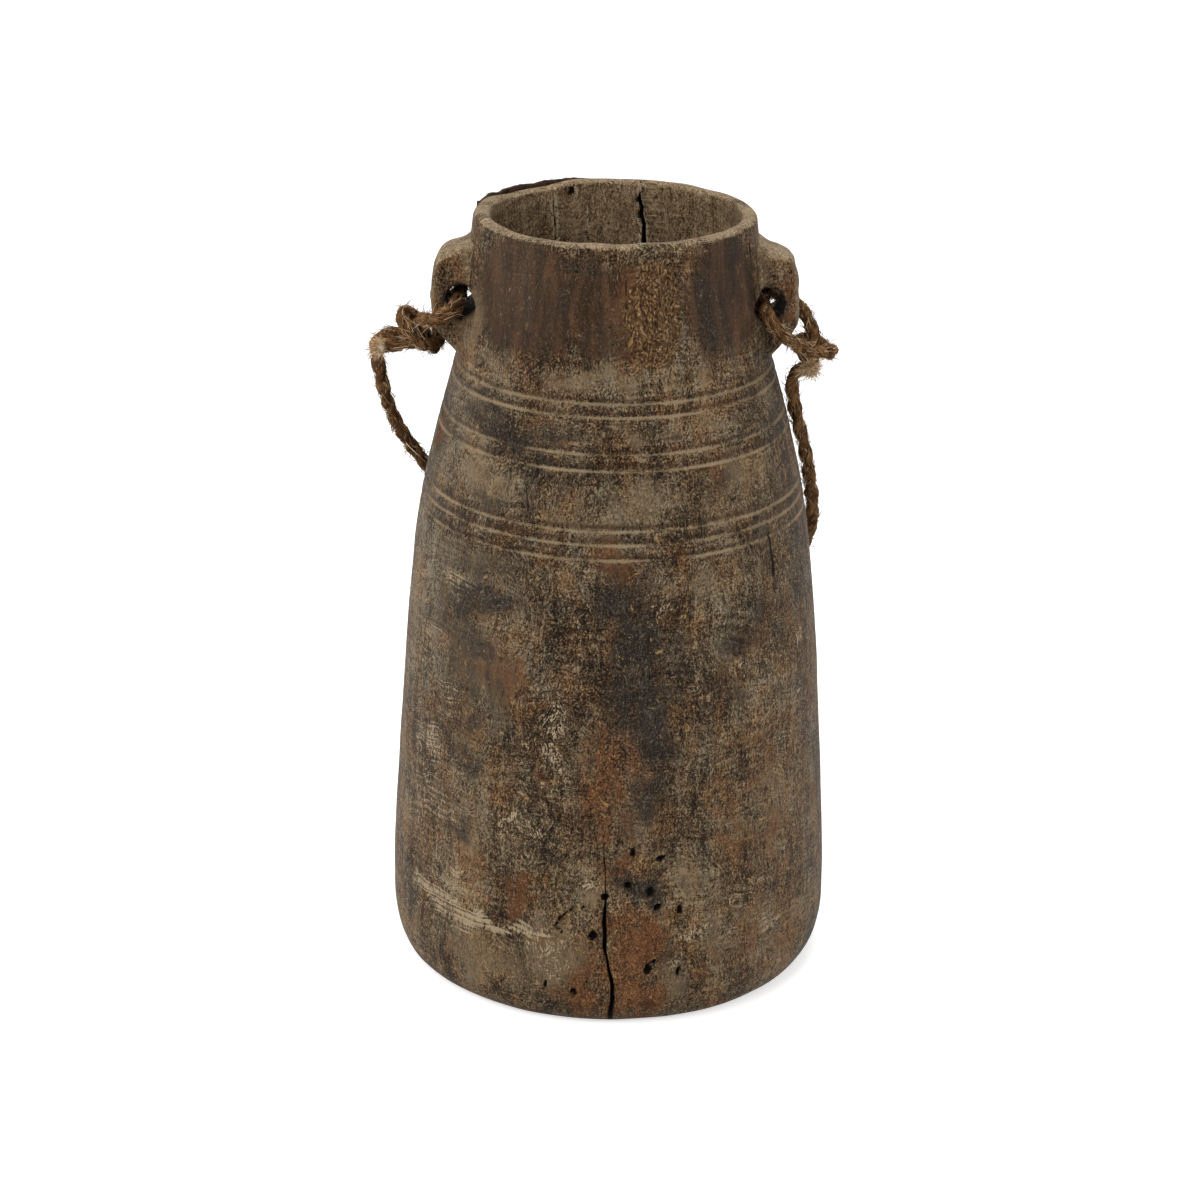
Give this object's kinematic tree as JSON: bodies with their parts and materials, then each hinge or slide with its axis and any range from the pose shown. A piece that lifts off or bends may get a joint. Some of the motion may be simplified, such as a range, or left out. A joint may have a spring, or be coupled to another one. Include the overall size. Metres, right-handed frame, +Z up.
{
  "type": "wooden milk pot",
  "caption": "Tall turned wooden milk pot with two pierced lugs, incised ring grooves, an iron strip nailed over the split rim and a knotted rope carrying handle.",
  "frame": {"origin": "centre of the flat foot, on the surface that the pot stands on", "axes": "+Z up along the turned axis, -Y towards the viewer of the picture, lugs on the X axis"},
  "size_m": [0.2156, 0.2076, 0.3606],
  "materials": {
    "wood": "dark hardwood, worn, waxed by use and dusty in the grooves",
    "iron": "old wrought strip with brown rust",
    "nail_iron": "hand-forged nails, rusted red-brown",
    "rope": "twisted natural fibre, dark brown and hairy"
  },
  "bodies": {
    "pot": {"vessel": "wood", "rim_strip": "iron", "rim_strip_nails": "nail_iron", "left_hitch": "rope", "right_hitch": "rope"},
    "handle": {"carrying_rope": "rope"}
  },
  "joints": [
    {"name": "handle_swing", "type": "hinge", "parent": "pot", "child": "handle", "pos_m": [-0.0995, 0.006, 0.2995], "axis": [0.9967, 0, -0.081], "range_deg": [0, 135]}
  ]
}
